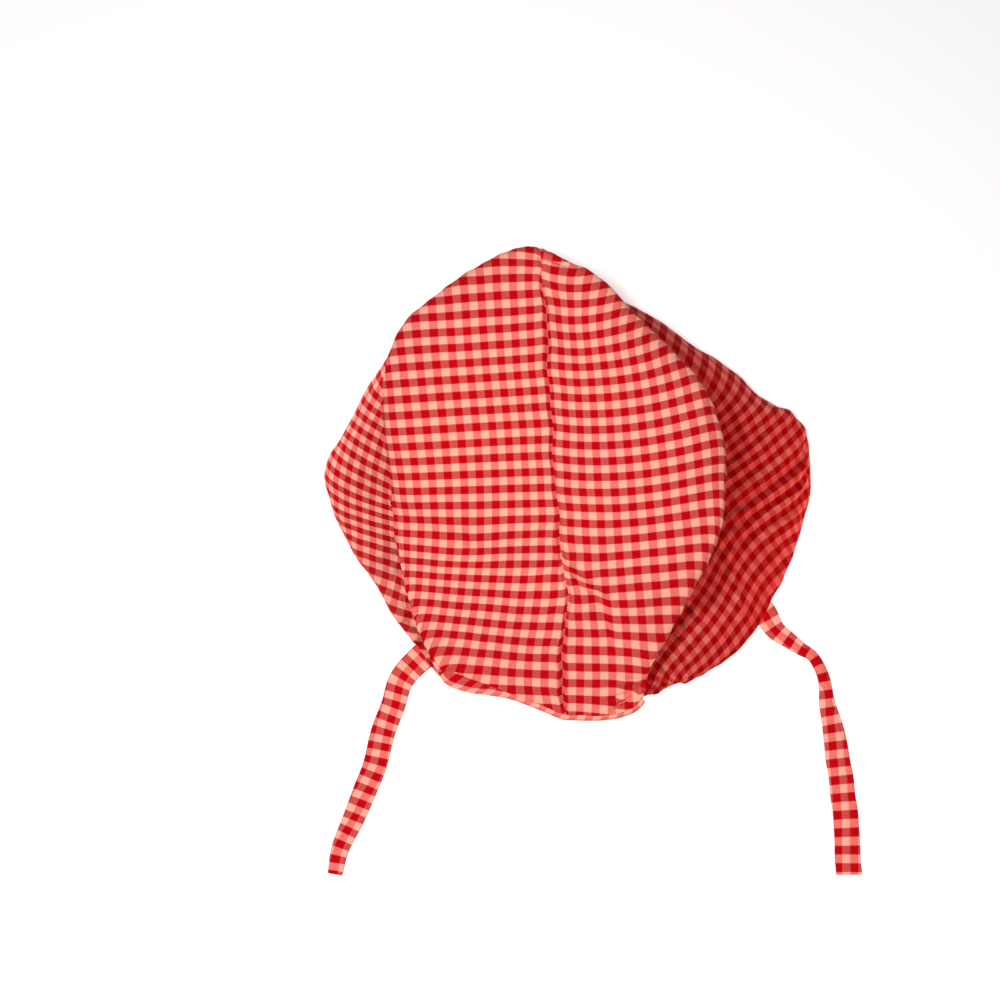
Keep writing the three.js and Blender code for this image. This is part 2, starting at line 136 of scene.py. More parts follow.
# The crown's outline, from the left neck corner over the forehead to the right one.
# start is where on the centre seam each section begins. roll is the depth of the rolled
# edge, a share of the height, and bow is how far the section bends toward the neck.
outline_rows = table(
    "start side along rise roll bow",
    (-0.506, -0.33, -0.414, 0.075, 0.02, -0.012),
    (-0.453, -0.36, -0.374, 0.125, 0.03, -0.008),
    (-0.385, -0.39, -0.32, 0.23, 0.045, -0.003),
    (-0.288, -0.427, -0.237, 0.365, 0.06, 0),
    (-0.169, -0.455, -0.133, 0.5, 0.07, 0),
    (-0.043, -0.469, -0.018, 0.6, 0.075, 0),
    (0.079, -0.488, 0.108, 0.68, 0.08, 0),
    (0.19, -0.493, 0.222, 0.74, 0.085, 0),
    (0.29, -0.439, 0.333, 0.79, 0.1, 0),
    (0.363, -0.337, 0.408, 0.83, 0.115, 0),
    (0.403, -0.214, 0.467, 0.87, 0.13, 0),
    (0.413, -0.114, 0.499, 0.9, 0.14, 0),
    (0.417, -0.035, 0.505, 0.91, 0.14, 0),
    (0.413, 0.034, 0.477, 0.9, 0.14, 0),
    (0.403, 0.132, 0.444, 0.87, 0.13, 0),
    (0.356, 0.244, 0.36, 0.82, 0.115, 0),
    (0.29, 0.365, 0.273, 0.74, 0.09, 0),
    (0.208, 0.455, 0.198, 0.67, 0.075, 0),
    (0.086, 0.502, 0.094, 0.6, 0.07, 0),
    (-0.04, 0.514, -0.007, 0.545, 0.07, 0),
    (-0.151, 0.486, -0.122, 0.48, 0.065, 0),
    (-0.252, 0.422, -0.23, 0.375, 0.06, 0),
    (-0.349, 0.351, -0.327, 0.25, 0.045, 0.004),
    (-0.439, 0.294, -0.403, 0.14, 0.03, 0.014),
    (-0.506, 0.27, -0.464, 0.075, 0.02, 0.026),
)
outline_rows["place"] = np.linspace(0, 1, len(outline_rows["side"]))

# The brim around the same way, as shares of its width. lean turns a section toward the
# forehead, in degrees. lift is 1 where the hem lies on top of a tie.
brim_rows = table(
    "place lean reach belly shoulder lift",
    (0, 0, 0.035, 0.0, 0.02, 1),
    (0.08, 0, 0.11, 0.0, 0.05, 1),
    (0.13, 0, 0.25, 0.02, 0.1, 0.3),
    (0.17, 0, 0.43, 0.03, 0.18, 0),
    (0.21, 0, 0.6, 0.06, 0.28, 0),
    (0.25, -4, 0.58, 0.14, 0.32, 0),
    (0.29, -14, 0.22, 0.17, 0.24, 0),
    (0.34, -6, 0.1, 0.1, 0.13, 0),
    (0.42, 0, 0.23, 0.05, 0.13, 0),
    (0.5, 0, 0.27, 0.03, 0.12, 0),
    (0.58, 0, 0.23, 0.08, 0.16, 0),
    (0.63, 0, 0.24, 0.2, 0.3, 0),
    (0.67, -3, 0.32, 0.19, 0.34, 0),
    (0.705, -16, 0.52, 0.16, 0.38, 0),
    (0.73, -6, 0.79, 0.13, 0.42, 0),
    (0.75, 0, 0.87, 0.08, 0.42, 0),
    (0.79, 0, 0.82, 0.03, 0.36, 0.1),
    (0.83, 0, 0.72, 0.02, 0.32, 0.9),
    (0.875, 0, 0.66, 0.02, 0.28, 1),
    (0.92, 0, 0.52, 0.02, 0.22, 0.3),
    (0.94, 0, 0.415, 0.015, 0.18, 0.1),
    (0.96, 2, 0.34, 0.01, 0.14, 0),
    (0.98, 12, 0.28, 0.01, 0.09, 0),
    (1, 26, 0.16, 0.0, 0.03, 0),
)

# Creases of the crown between two places. depth and width are the soft valley, as shares
# of the crown's height and width. line and sharp are the depth and width of the sharp line
# in it, and tuck is how much cloth is hidden there, all three in millimetres.
crease_rows = table(
    "side along to_side to_along depth width line sharp tuck",
    (-0.47, -0.075, -0.26, -0.15, 0.04, 0.05, 0.6, 3.6, 0),
    (-0.26, -0.15, 0.02, -0.222, 0.035, 0.045, 0.6, 3.6, 0),
    (0.035, -0.19, 0.08, -0.225, 0.03, 0.035, 1.5, 2.2, 3.5),
    (0.08, -0.225, 0.14, -0.258, 0.035, 0.04, 1.5, 2.2, 3.5),
    (0.14, -0.258, 0.175, -0.335, 0.03, 0.04, 1.0, 2.2, 2),
    (0.06, 0.3, 0.075, -0.12, 0.035, 0.055, 0, 1, 0),
    (0.275, -0.45, 0.2, -0.487, 0.012, 0.02, 1.5, 1.0, 2),
    (0.275, -0.446, 0.19, -0.47, 0.008, 0.02, 1.4, 1.0, 2),
    (0.275, -0.441, 0.205, -0.45, 0, 0.02, 1.2, 0.9, 1.5),
    (0.27, -0.432, 0.22, -0.428, 0, 0.02, 0.8, 0.9, 1),
    (-0.022, 0.476, 0.035, 0.463, 0, 0.02, 1.3, 1.3, 2),
)

# How far the check lies from where smooth cloth would have it, in millimetres to the right
# and up the cloth. The columns are four places across a panel, from its seam to its edge.
grain_shares = (0, 1 / 6, 1 / 2, 5 / 6)
grain_columns = "place right_0 right_1 right_2 right_3 up_0 up_1 up_2 up_3"
left_grain_rows = table(
    grain_columns,
    (0, 13.5, 16, 19.5, 21.5, 1.5, -0.5, -5, -3),
    (0.042, 15.5, 15.5, 15.5, 16, -0.5, -3, -8, -6),
    (0.083, 13, 12, 9, 8, -3, -5.5, -11.5, -10),
    (0.125, 7, 5, 0.5, -3, -4.5, -6.5, -12, -12),
    (0.167, 1, -1.5, -5, -9.5, -4.5, -5.5, -7.5, -9.5),
    (0.208, -1, -4.5, -6, -8, -3, -3.5, -3.5, -4.5),
    (0.25, 0, -4, -3.5, -3.5, -2.5, -2, -0.5, -1),
    (0.333, 3, 1, 2, 6, -4, -1.5, 0, -0.5),
    (0.417, 3.5, 3.5, 4.5, 7, -4, -4, -4.5, -7.5),
    (0.5, 4, 4, 4, 4.5, -4, -3.5, -3.5, -6.5),
)
right_grain_rows = table(
    grain_columns,
    (0.5, -3, -3, -6, -9, -3, -2, -2, -4),
    (0.583, -3, -1.5, -3.5, -5.5, -2, 2.5, 3.5, 1),
    (0.667, -2, 4, 7, -0.5, 1, 4.5, -1, -6),
    (0.75, 0.5, 5, 2.5, -2, -1, 3, -2, -3.5),
    (0.792, 2, 4.5, 1, 0.5, -2, 1.5, -2.5, -1.5),
    (0.833, 0.5, 3, -0.5, 0.5, -2, 0, -2, 1),
    (0.875, -2, 0.5, -2, -4.5, -1.5, 0.5, 0, 3.5),
    (0.917, -4.5, -3.5, -4, -7.5, 0.5, 1.5, 4, 5.5),
    (0.958, -5, -5, -6, -8, 4, 4, 7.5, 7.5),
    (1, -5.5, -5, -6, -8, 5, 6, 7.5, 7),
)

# The same for the brim, at three places from its seam to its hem. Its gathers hide cloth.
brim_grain_shares = (0.11, 0.5, 0.89)
brim_grain_rows = table(
    "place right_0 right_1 right_2 up_0 up_1 up_2",
    (0, -20, -20, -17, 14, 14, 8),
    (0.125, -18, -18, -15, 13, 13, 7),
    (0.167, -15, -16, -13, 13, 13, 8),
    (0.208, 3, -3.5, -7, 4.5, 8, 7),
    (0.25, 11, 2, -4, 2, 7, 5.5),
    (0.292, 16, 10, 9, 5, 7, 9),
    (0.4, 10, 8, 8, 2, 5, 4),
    (0.5, 0, 0, 0, 0, 0, 0),
    (0.6, -14, -10, -8, 2, 4, 3),
    (0.667, -22, -15, -11, 4, 6, 5),
    (0.708, -25, -16, -9, 5, 7.5, 6),
    (0.75, -15, -5, 1, 11, 13, 12),
    (0.792, -6, 1.5, 1, 11, 10.5, 13),
    (0.833, -10, 1.5, 0, 5, 3, -3),
    (0.875, -30, -18.5, -14, -9, -17, -19),
    (0.917, -43, -35, -29, -25, -29, -27),
    (0.96, -57, -50, -44, -38, -40, -38),
    (1, -70, -64, -58, -50, -52, -50),
)

# Lines of the brim between two places, as shares of the way around and of the way down:
# ridges where height is above 0. height and width are in millimetres.
brim_line_rows = table(
    "place down to_place to_down height width",
    (0.845, 0.22, 0.874, 0.6, 1.7, 1.3),
    (0.819, 0.45, 0.826, 0.62, 1.5, 1.3),
    (0.785, 0.07, 0.765, 0.33, 1.4, 3.5),
    (0.765, 0.33, 0.747, 0.66, 1.4, 3.5),
    (0.815, 0.16, 0.774, 0.71, 1.5, 3.0),
    (0.836, 0.12, 0.786, 0.67, 1.4, 2.6),
    (0.886, 0.02, 0.893, 0.26, 2.2, 1.7),
    (0.9, 0.02, 0.906, 0.26, 2.0, 1.6),
    (0.914, 0.04, 0.914, 0.36, 2.3, 1.8),
    (0.93, 0.03, 0.932, 0.36, 2.1, 1.7),
    (0.947, 0.02, 0.95, 0.4, 1.9, 1.7),
    (0.963, 0.03, 0.962, 0.4, 1.4, 1.7),
    (0.2, 0.06, 0.217, 0.3, -0.9, 1.4),
    (0.208, 0.04, 0.226, 0.26, -0.9, 1.4),
    (0.193, 0.05, 0.206, 0.24, -0.7, 1.3),
    (0.15, 0.1, 0.135, 0.5, -0.8, 1.8),
)

# Soft folds down the brim: depth as a share of its width, width of the way around
brim_fold_rows = table(
    "place depth width",
    (0.155, 0.03, 0.012),
    (0.235, -0.03, 0.014),
    (0.335, 0.05, 0.018),
    (0.395, -0.035, 0.02),
    (0.45, 0.055, 0.018),
    (0.53, -0.04, 0.02),
    (0.585, 0.05, 0.016),
    (0.69, 0.035, 0.012),
    (0.735, -0.04, 0.012),
    (0.79, 0.04, 0.012),
    (0.85, 0.03, 0.01),
    (0.9, -0.02, 0.01),
)

# How far the neck facing shows, as a share of its greatest show
neck_hem_rows = table(
    "place show",
    (0, 0),
    (0.05, 0.2),
    (0.1, 0.65),
    (0.17, 1),
    (0.24, 1),
    (0.3, 0.65),
    (0.37, 0.25),
    (0.5, 0.2),
    (1, 0.2),
)

# The ties from the hem that they come out of, as shares of their reach, width and wall.
# red is where the middle of a red stripe lies across the tie, fold is where a lengthwise
# fold does, both as shares of its width, and line is the fold's depth in millimetres.
left_tie_rows = table(
    "down side width wall red fold line",
    (0, 0, 1.1, 1, 0, 0.3, 0.15),
    (0.115, -0.101, 1, 1, 0, 0.3, 0.15),
    (0.23, -0.142, 0.97, 1, -0.12, 0.25, 0.2),
    (0.35, -0.187, 0.98, 1, -0.23, 0.2, 0.2),
    (0.51, -0.222, 0.95, 1, -0.28, 0.15, 0.3),
    (0.62, -0.264, 0.94, 1, -0.18, 0.1, 0.3),
    (0.76, -0.318, 0.86, 1.1, 0, 0.1, 0.5),
    (0.9, -0.377, 0.66, 1.4, 0.1, 0.1, 0.8),
    (1, -0.396, 0.55, 1.5, 0.1, 0.1, 0.8),
)
right_tie_rows = table(
    "down side width wall red fold line",
    (0, 0, 0.98, 1, 0.05, -0.12, 0.9),
    (0.07, 0.045, 0.8, 1, 0.05, -0.15, 1.1),
    (0.132, 0.128, 0.52, 1.3, 0.1, -0.2, 1.2),
    (0.163, 0.175, 0.38, 1.7, 0.1, -0.2, 1.0),
    (0.214, 0.203, 0.34, 2.1, 0.1, -0.25, 0.8),
    (0.3, 0.222, 0.52, 1.6, -0.2, -0.35, 0.6),
    (0.385, 0.235, 0.74, 1.2, 0, -0.38, 0.8),
    (0.465, 0.25, 0.9, 1, 0.1, -0.37, 1.0),
    (0.55, 0.26, 0.97, 1, 0.18, -0.33, 1.1),
    (0.71, 0.276, 1, 1, 0.26, -0.23, 1.1),
    (0.875, 0.285, 1.02, 1, 0.37, -0.13, 1.0),
    (0.99, 0.285, 1.04, 1, 0.4, -0.1, 0.9),
)


# Curves and surfaces of the frame

def between(rows, key, at, column):
    """Smooth values between the rows of a table, which rise in the column named key."""
    keys = rows[key]
    values = rows[column]
    slope = np.gradient(values)
    slope[1:-1] = (values[2:] - values[:-2]) / (keys[2:] - keys[:-2])
    slope[0] = (values[1] - values[0]) / (keys[1] - keys[0])
    slope[-1] = (values[-1] - values[-2]) / (keys[-1] - keys[-2])
    k = np.searchsorted(keys[1:-1], at, side="left")
    span = keys[k + 1] - keys[k]
    t = np.clip((at - keys[k]) / span, 0, 1)
    rise = t * t * (3 - 2 * t)
    bend = slope[k] * t * (1 - t) ** 2 - slope[k + 1] * t * t * (1 - t)
    return values[k] * (1 - rise) + values[k + 1] * rise + span * bend


def outline_at(place, column):
    return between(outline_rows, "place", place, column)


def brim_at(place, column):
    return between(brim_rows, "place", place, column)


def soft_step(low, high, at):
    """0 up to low, 1 from high, and a smooth rise between."""
    t = np.clip((at - low) / (high - low), 0, 1)
    return t * t * (3 - 2 * t)


def hump(at, middle, width):
    """1 at the middle, and a smooth fall to almost 0 at twice the width to either side."""
    return np.exp(-(((at - middle) / width) ** 2))


def steps(start, *parts):
    """Values that rise from start. Each part is its end and its number of even points."""
    values = [np.array([start])]
    for end, count in parts:
        values.append(np.linspace(start, end, count)[1:])
        start = end
    return np.concatenate(values)


def length_along(points, axis=0):
    """How far each point lies along its line of points, from the first one."""
    far = np.cumsum(np.linalg.norm(np.diff(points, axis=axis), axis=-1), axis=axis)
    return np.concatenate([0 * far.take([0], axis), far], axis)


def seam_points(along):
    side = between(seam_rows, "along", along, "side") * crown_width
    rise = between(seam_rows, "along", along, "rise") * crown_height
    return np.stack([side, along * crown_length, rise], -1)


def outline_points(place):
    sizes = {"side": crown_width, "along": crown_length, "rise": crown_height}
    return np.stack([outline_at(place, name) * size for name, size in sizes.items()], -1)


def outward(place):
    """The level direction that points straight out of the outline."""
    step = 0.01
    run = outline_points(np.minimum(place + step, 1)) - outline_points(np.maximum(place - step, 0))
    out = np.stack([-run[..., 1], run[..., 0], 0 * run[..., 0]], -1)
    return out / np.linalg.norm(out, axis=-1, keepdims=True)


def brim_seam(place):
    """The seam of crown and brim, under the crown's rolled edge."""
    roll = (outline_at(place, "roll") * crown_height)[..., None]
    return outline_points(place) - outward(place) * roll_inset * roll - roll * np.array([0, 0, 1])


def crease_reach(x, y, k):
    """How far places of the crown lie to the side of a crease, signed, and past its ends."""
    start = np.array([crease_rows["side"][k] * crown_width, crease_rows["along"][k] * crown_length])
    end = np.array([crease_rows["to_side"][k] * crown_width, crease_rows["to_along"][k] * crown_length])
    run = end - start
    length = np.hypot(*run)
    run = run / length
    along = (x - start[0]) * run[0] + (y - start[1]) * run[1]
    side = (y - start[1]) * run[0] - (x - start[0]) * run[1]
    past = np.maximum(np.maximum(-along, along - length), 0)
    return side, past


def crease_depth(x, y):
    depth = 0
    for k, share in enumerate(crease_rows["depth"]):
        side, past = crease_reach(x, y, k)
        width = crease_rows["width"][k] * crown_width
        depth = depth + share * crown_height * np.exp(-(side**2 + past**2) / width**2)
    return depth


def crown_surface(place, across):
    """The crown's outer face, one row of points for each place of the outline."""
    start = seam_points(outline_at(place, "start"))[:, None]
    edge = outline_points(place)[:, None]
    under = brim_seam(place)[:, None] - edge
    share = np.asarray(across, float)[None, :, None]
    turn = np.minimum(share / edge_share, 1) * math.pi / 2
    grid = start + (edge - start) * np.sin(turn)
    grid[..., 2] = edge[..., 2] + (start - edge)[..., 2] * np.cos(turn[..., 0])
    bow = (outline_at(place, "bow") * crown_length)[:, None]
    grid[..., 1] -= bow * np.sin(2 * turn[..., 0])
    fade = np.sqrt(np.maximum(np.sin(2 * turn[..., 0]), 0))
    grid[..., 2] -= crease_depth(grid[..., 0], grid[..., 1]) * fade
    roll = np.clip((share - edge_share) / (1 - edge_share), 0, 1) * math.pi / 2
    grid[..., :2] += (under * (1 - np.cos(roll)))[..., :2]
    grid[..., 2] += (under * np.sin(roll))[..., 2]
    return grid


def turned_about_up(direction, angle):
    x, y = direction[..., 0], direction[..., 1]
    c, s = np.cos(angle), np.sin(angle)
    return np.stack([x * c - y * s, x * s + y * c, direction[..., 2]], -1)


def brim_surface(place, down):
    """The brim's outer face, one row of points for each place, from its seam to its hem."""
    seam = brim_seam(place)
    lean = np.radians(brim_at(place, "lean")) * np.where(place < forehead, -1, 1)
    out = turned_about_up(outward(place), lean)
    reach, belly, shoulder = (
        (brim_at(place, name) * brim_width)[:, None] for name in ("reach", "belly", "shoulder")
    )
    hem_height = np.maximum(brim_at(place, "lift"), 0) * (tie_wall + seam_gap)
    fall = (seam[:, 2] - hem_height)[:, None]
    up = np.array([[0, 0, 1.0]])
    hem = seam + out * reach
    hem[:, 2] = hem_height
    points = [
        seam,
        seam + out * shoulder - up * brim_fall_at_shoulder * fall,
        hem + out * belly + up * brim_rise_over_hem * fall,
        hem,
    ]
    t = np.asarray(down, float)[None, :, None]
    parts = [(1 - t) ** 3, 3 * t * (1 - t) ** 2, 3 * t * t * (1 - t), t**3]
    grid = sum(part * point[:, None] for part, point in zip(parts, points))
    fold = 0
    for fold_place, depth, width in zip(*brim_fold_rows.values()):
        fold = fold + depth * brim_width * hump(place, fold_place, width)
    swell = np.sin(math.pi * (fold_at_seam + (1 - fold_at_seam) * t))
    return grid - out[:, None] * (fold[:, None, None] * t * swell)


# The frame's origin is the middle of its footprint, so the cloth is moved the same way
faces_across_brim = 9
brim_steps = 48
brim_check = brim_surface(
    np.linspace(0, 1, brim_steps + 1), np.linspace(0, 1, faces_across_brim + 1)
)
brim_low, brim_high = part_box("brim")
shift = np.array([
    brim_low.x - brim_check[..., 0].min(),
    brim_high.y - brim_check[..., 1].max(),
    0,
])


# Cloth

def normals(grid):
    """The direction out of a grid of points, across both of its ways."""
    along = np.gradient(grid, axis=0)
    across = np.gradient(grid, axis=1)
    out = np.cross(along, across)
    return out / np.maximum(np.linalg.norm(out, axis=-1, keepdims=True), 1e-12)


def ripple(spots, size, waves=9):
    """Soft uneven waves of about that size, mostly between -1 and 1."""
    total = 0
    for _ in range(waves):
        direction = chance.normal(size=3)
        direction /= np.linalg.norm(direction)
        length = size * chance.uniform(0.7, 1.5)
        total = total + np.sin(spots @ direction * (2 * math.pi / length) + chance.uniform(0, 6.28))
    return total / math.sqrt(waves)


def ripples(spots, rows):
    return sum(height * ripple(spots, size) for height, size in zip(*rows.values()))


def lines_at(distance, rows):
    """The height of lines that run along a seam or an edge, at a distance from it."""
    return sum(height * hump(distance, *where) for height, *where in zip(*rows.values()))


def uneven_wave(run, pitch, drift, over):
    """A wave along a run. Its pitch drifts up and down over the run."""
    return np.sin(run * 2 * math.pi / pitch + drift * np.sin(run / over))


def smooth(values, rounds):
    """Evens values out along their first axis, in place. The ends stay."""
    for _ in range(rounds):
        values[1:-1] = (values[:-2] + 2 * values[1:-1] + values[2:]) / 4


def flatten(points, guess, rounds=80):
    """Lays a curved grid of cloth flat and keeps its lengths as well as it can."""
    rows, columns = points.shape[:2]
    index = np.arange(rows * columns).reshape(rows, columns)
    links = [
        (index[1:], index[:-1], 1.0),
        (index[:, 1:], index[:, :-1], 1.0),
        (index[1:, 1:], index[:-1, :-1], 0.5),
        (index[1:, :-1], index[:-1, 1:], 0.5),
    ]
    one = np.concatenate([a.ravel() for a, _, _ in links])
    other = np.concatenate([b.ravel() for _, b, _ in links])
    weight = np.concatenate([np.full(a.size, w) for a, _, w in links])
    spots = points.reshape(-1, 3)
    length = np.linalg.norm(spots[one] - spots[other], axis=1)
    pull = np.zeros((len(spots), len(spots)))
    np.add.at(pull, (one, one), weight)
    np.add.at(pull, (other, other), weight)
    np.add.at(pull, (one, other), -weight)
    np.add.at(pull, (other, one), -weight)
    pull[0, 0] += 1
    answer = np.linalg.inv(pull)
    flat = guess.reshape(-1, 2).copy()
    held = flat[0].copy()
    for _ in range(rounds):
        gap = flat[one] - flat[other]
        far = np.maximum(np.linalg.norm(gap, axis=1), 1e-9)
        gap *= (weight * length / far)[:, None]
        push = np.zeros_like(flat)
        np.add.at(push, one, gap)
        np.add.at(push, other, -gap)
        push[0] += held
        flat = answer @ push
    return flat.reshape(rows, columns, 2)


def resampled(grid, rows_at, columns_at, rows_to, columns_to):
    """A grid of values at other rows and columns, with straight lines between its own."""
    i = np.clip(np.searchsorted(rows_at, rows_to) - 1, 0, len(rows_at) - 2)
    j = np.clip(np.searchsorted(columns_at, columns_to) - 1, 0, len(columns_at) - 2)
    s = ((rows_to - rows_at[i]) / (rows_at[i + 1] - rows_at[i]))[:, None, None]
    t = ((columns_to - columns_at[j]) / (columns_at[j + 1] - columns_at[j]))[None, :, None]
    low = grid[i][:, j] * (1 - t) + grid[i][:, j + 1] * t
    high = grid[i + 1][:, j] * (1 - t) + grid[i + 1][:, j + 1] * t
    return low * (1 - s) + high * s


def turned_flat(flat, origin, toward):
    """Turns flat cloth so that the way from origin to toward is its length."""
    way = toward - origin
    angle = math.pi / 2 - math.atan2(way[1], way[0])
    c, s = math.cos(angle), math.sin(angle)
    x, y = (flat - origin)[..., 0], (flat - origin)[..., 1]
    return np.stack([x * c - y * s, x * s + y * c], -1)


def flat_area(flat):
    """The area of a flat grid, from the cross products of its cells."""
    a = flat[1:, 1:] - flat[:-1, :-1]
    b = flat[1:, :-1] - flat[:-1, 1:]
    return float(np.abs(a[..., 0] * b[..., 1] - a[..., 1] * b[..., 0]).sum() / 2)


def box_of(flat):
    size = flat.reshape(-1, 2).max(0) - flat.reshape(-1, 2).min(0)
    return float(size[0]), float(size[1])


def grain(rows, shares, place, across):
    """The shift of the check, for each place and each share of the way across."""
    spread = []
    for k, share in enumerate(shares):
        others = [other for other in shares if other != share]
        spread.append(np.prod([(across - other) / (share - other) for other in others], axis=0))
    ways = []
    for way in ("right", "up"):
        columns = [between(rows, "place", place, f"{way}_{k}") for k in range(len(shares))]
        ways.append(sum(column[:, None] * part[None] for column, part in zip(columns, spread)))
    return mm * np.stack(ways, -1)


def border(rows, columns):
    """The border of a grid, once around, as row numbers and column numbers."""
    low = np.zeros(columns - 1, int)
    i = np.concatenate([np.arange(rows - 1), low + rows - 1, np.arange(rows - 1, 0, -1), low])
    side = np.zeros(rows - 1, int)
    j = np.concatenate([side, np.arange(columns - 1), side + columns - 1, np.arange(columns - 1, 0, -1)])
    return i, j


def cloth_piece(name, outer, wall, flat, material, out=None, rim_rows=5):
    """A closed sheet of cloth: its outer face, the same moved in by the wall, and a round
    edge between them. flat is where each point lies on the flat cloth."""
    rows, columns = outer.shape[:2]
    wall = np.broadcast_to(wall, (rows, columns))[..., None]
    if out is None:
        out = normals(outer)
    inner = outer - out * wall
    i, j = border(rows, columns)
    ni, nj = np.clip(i, 1, rows - 2), np.clip(j, 1, columns - 2)
    away = outer[i, j] - outer[ni, nj]
    away -= out[i, j] * (away * out[i, j]).sum(-1, keepdims=True)
    away /= np.maximum(np.linalg.norm(away, axis=-1, keepdims=True), 1e-9)
    flat_away = flat[i, j] - flat[ni, nj]
    flat_away /= np.maximum(np.linalg.norm(flat_away, axis=-1, keepdims=True), 1e-9)
    middle = (outer[i, j] + inner[i, j]) / 2
    half = wall[i, j] / 2
    points = [outer.reshape(-1, 3), inner.reshape(-1, 3)]
    places = [flat.reshape(-1, 2), flat.reshape(-1, 2)]
    for k in range(1, rim_rows):
        angle = math.pi * k / rim_rows
        points.append(middle + half * (out[i, j] * math.cos(angle) + away * math.sin(angle)))
        places.append(flat[i, j] + flat_away * half * math.sin(angle))
    points = np.concatenate(points)
    points[:, 2] = np.maximum(points[:, 2], above_floor)
    places = np.concatenate(places)

    grid = np.arange(rows * columns).reshape(rows, columns)
    a, b, c, d = grid[:-1, :-1], grid[1:, :-1], grid[1:, 1:], grid[:-1, 1:]
    outside = np.stack([a, b, c, d], -1).reshape(-1, 4)
    inside = np.stack([b, a, d, c], -1).reshape(-1, 4) + rows * columns
    loops = [grid[i, j]]
    first = 2 * rows * columns
    loops += [first + k * len(i) + np.arange(len(i)) for k in range(rim_rows - 1)]
    loops.append(grid[i, j] + rows * columns)
    faces = [outside, inside]
    for near, far in zip(loops, loops[1:]):
        faces.append(np.stack([np.roll(near, -1), near, far, np.roll(far, -1)], -1))
    faces = np.concatenate(faces)
    return mesh_piece(name, points, faces, places, material)


def mesh_piece(name, points, faces, places, material):
    mesh = bpy.data.meshes.new(name)
    mesh.from_pydata((points + shift).tolist(), [], faces.tolist())
    layer = mesh.uv_layers.new(name="cloth")
    layer.data.foreach_set("uv", places[faces.ravel()].astype(np.float32).ravel())
    mesh.polygons.foreach_set("use_smooth", np.ones(len(faces), bool))
    mesh.materials.append(material)
    piece = bpy.data.objects.new(name, mesh)
    bpy.context.scene.collection.objects.link(piece)
    return piece


# Material

